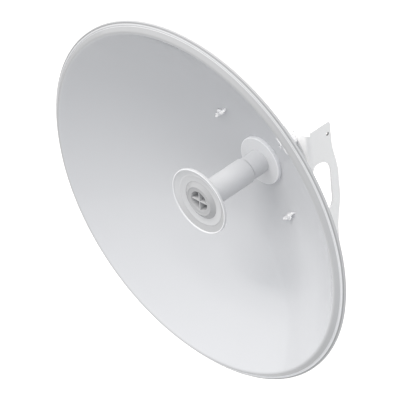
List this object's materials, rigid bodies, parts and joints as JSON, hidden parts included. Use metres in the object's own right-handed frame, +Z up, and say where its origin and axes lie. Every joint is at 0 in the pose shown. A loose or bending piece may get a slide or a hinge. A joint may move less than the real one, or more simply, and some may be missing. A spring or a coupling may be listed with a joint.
{
  "type": "parabolic dish antenna",
  "caption": "Round parabolic dish reflector with a rolled rim, a tubular centre feed with a round head, and a folded two-wing mounting bracket.",
  "frame": {"origin": "on the outer flat face of the bracket wing at +X, between its ear hole and its opening", "axes": "+Z up, the dish looks along -Y, +X out of the wing's outer face"},
  "size_m": [0.65, 0.2227, 0.65],
  "materials": {
    "bowl_paint": "smooth semi-gloss white-grey coat",
    "feed_plastic": "satin moulded plastic",
    "head_plastic": "milky, slightly clear moulded plastic",
    "core_plastic": "dark grey, seen deep inside the head",
    "bracket_paint": "light powder coat",
    "bolt_steel": "bright plated steel"
  },
  "bodies": {
    "root": {"reflector": "bowl_paint", "feed_flange": "feed_plastic", "rear_tube": "feed_plastic", "front_tube": "feed_plastic", "head_ring": "head_plastic", "head_floor": "head_plastic", "throat_cone": "head_plastic", "feed_vanes": "head_plastic", "feed_core": "core_plastic", "bracket": "bracket_paint", "rear_housing": "feed_plastic", "housing_lid": "feed_plastic", "port_door": "core_plastic", "bolt_top_left": "bolt_steel", "sleeve_top_left": "bolt_steel", "washer_top_left": "bolt_steel", "nut_top_left": "bolt_steel", "bolt_top_right": "bolt_steel", "sleeve_top_right": "bolt_steel", "washer_top_right": "bolt_steel", "nut_top_right": "bolt_steel", "bolt_bottom_left": "bolt_steel", "sleeve_bottom_left": "bolt_steel", "washer_bottom_left": "bolt_steel", "nut_bottom_left": "bolt_steel", "bolt_bottom_right": "bolt_steel", "sleeve_bottom_right": "bolt_steel", "washer_bottom_right": "bolt_steel", "nut_bottom_right": "bolt_steel"}
  },
  "joints": []
}
